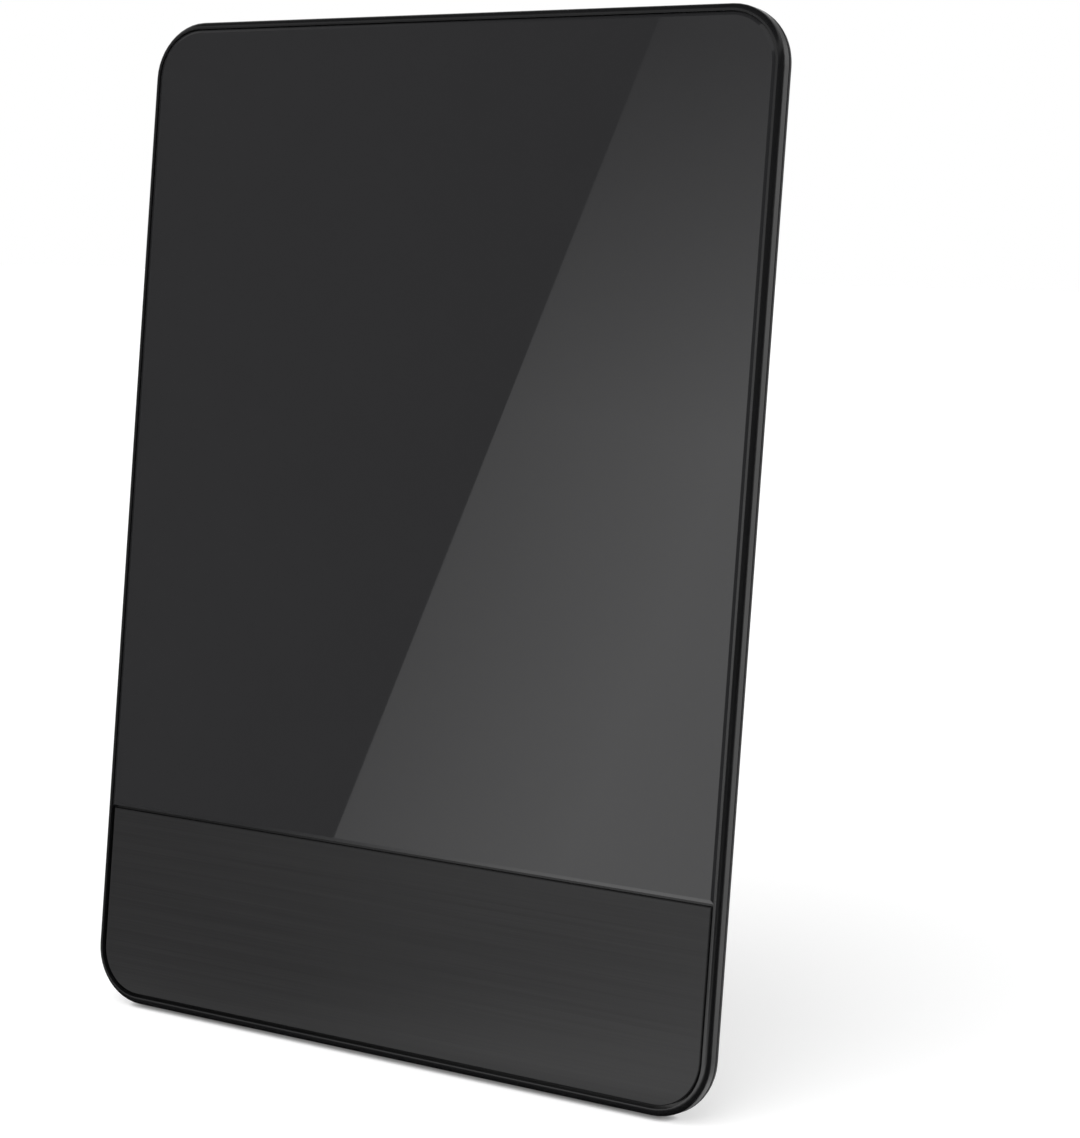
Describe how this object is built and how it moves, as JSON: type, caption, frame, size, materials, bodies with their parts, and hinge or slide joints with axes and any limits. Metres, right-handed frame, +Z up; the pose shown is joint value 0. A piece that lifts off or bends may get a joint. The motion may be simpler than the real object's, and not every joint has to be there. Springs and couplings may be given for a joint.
{
  "type": "indoor tv antenna",
  "caption": "Flat upright panel antenna with a glossy face over a brushed strip, leaning back on a hinged easel leg, with a coaxial socket on its back.",
  "frame": {"origin": "on the floor, under the middle of the box round the standing antenna", "axes": "+Z up, the face looks towards -Y and leans back, +X to the right seen from the front"},
  "size_m": [0.181, 0.054, 0.2489],
  "materials": {
    "frame_black": "moulded black, satin gloss",
    "panel_gloss": "polished black",
    "trim_brushed": "dark grey, fine horizontal hairline grain",
    "tape": "dull",
    "cover_black": "moulded black, fine spark-eroded texture",
    "screw_steel": "black zinc",
    "board": "green solder resist",
    "copper_foil": "bare copper",
    "tinned_steel": "tinned",
    "cable_jacket": "dull",
    "nickel": "nickel plated",
    "insulator": "natural white",
    "contact": "bright",
    "leg_black": "moulded black, fine spark-eroded texture",
    "pin_steel": "ground",
    "rubber": "dull"
  },
  "bodies": {
    "panel": {"front_frame": "frame_black", "front_panel": "panel_gloss", "trim_strip": "trim_brushed", "panel_tape": "tape", "trim_tape": "tape", "rear_cover": "cover_black", "case_screws": "screw_steel", "antenna_board": "board", "left_radiator": "copper_foil", "right_radiator": "copper_foil", "amplifier_board": "board", "amplifier_shield": "tinned_steel", "feed_cable": "cable_jacket", "output_socket": "nickel", "socket_insulator": "insulator", "socket_contact": "contact", "socket_washer": "nickel", "socket_nut": "nickel", "base_pads": "rubber"},
    "stand": {"stand_leg": "leg_black", "hinge_pin": "pin_steel", "leg_pad": "rubber"}
  },
  "joints": [
    {"name": "stand_hinge", "type": "hinge", "parent": "panel", "child": "stand", "pos_m": [0, 0.00394, 0.14831], "axis": [1, 0, 0], "range_deg": [-15, 0]}
  ]
}
